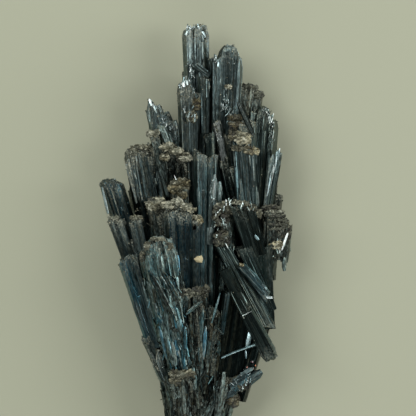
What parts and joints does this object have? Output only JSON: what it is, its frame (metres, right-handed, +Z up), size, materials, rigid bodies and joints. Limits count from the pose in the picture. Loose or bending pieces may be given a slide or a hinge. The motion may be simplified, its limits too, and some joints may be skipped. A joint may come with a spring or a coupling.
{
  "type": "stibnite specimen",
  "caption": "Fan-shaped spray of long striated grey-blue metallic prisms grown from one matted root, lying on its back.",
  "frame": {"origin": "middle of the specimen's box, on the surface that it lies on", "axes": "+Y from the broken root to the crown, +X to the right seen from above, +Z up from its resting back"},
  "size_m": [0.0642, 0.1387, 0.031],
  "materials": {
    "stibnite": "striated metallic grey",
    "dark_stibnite": "dark mirror-bright metallic grey",
    "blue_stibnite": "striated metallic grey with blue tarnish",
    "matted_stibnite": "felted needles with a dull brown-grey crust",
    "calcite": "translucent cream"
  },
  "bodies": {
    "root": {"back_centre": "dark_stibnite", "back_crown": "dark_stibnite", "back_left": "dark_stibnite", "back_left_low": "dark_stibnite", "back_left_tall": "dark_stibnite", "back_right": "dark_stibnite", "back_right_low": "dark_stibnite", "back_right_tall": "dark_stibnite", "black_prism": "dark_stibnite", "blue_blade": "blue_stibnite", "bright_shard": "stibnite", "calcite_grain": "calcite", "centre_left_prism": "blue_stibnite", "centre_prism": "stibnite", "cross_needle": "blue_stibnite", "crown_blade": "stibnite", "crown_prism": "stibnite", "crust_ledge": "matted_stibnite", "crust_stub": "matted_stibnite", "crusted_back_prism": "matted_stibnite", "crusted_cluster": "matted_stibnite", "front_diagonal": "dark_stibnite", "inner_blades": "dark_stibnite", "inner_stub": "dark_stibnite", "left_block": "stibnite", "left_long_pair": "blue_stibnite", "left_matted_mass": "matted_stibnite", "left_pillar": "stibnite", "left_prong": "stibnite", "left_spike_fan": "stibnite", "left_step_pair": "stibnite", "lower_ledge_mass": "matted_stibnite", "lower_left_blades": "stibnite", "lower_right_blades": "blue_stibnite", "middle_centre": "dark_stibnite", "middle_left": "dark_stibnite", "middle_left_low": "dark_stibnite", "middle_right": "dark_stibnite", "middle_right_low": "dark_stibnite", "notched_prism": "blue_stibnite", "rear_diagonal": "dark_stibnite", "right_back_stub": "matted_stibnite", "right_bulge": "matted_stibnite", "right_edge_blade": "dark_stibnite", "right_fringe": "stibnite", "right_prism": "stibnite", "right_slab": "dark_stibnite", "right_tall_prism": "dark_stibnite", "root_mass": "matted_stibnite", "shelf_prism": "matted_stibnite", "thin_blue_blade": "blue_stibnite"}
  },
  "joints": []
}
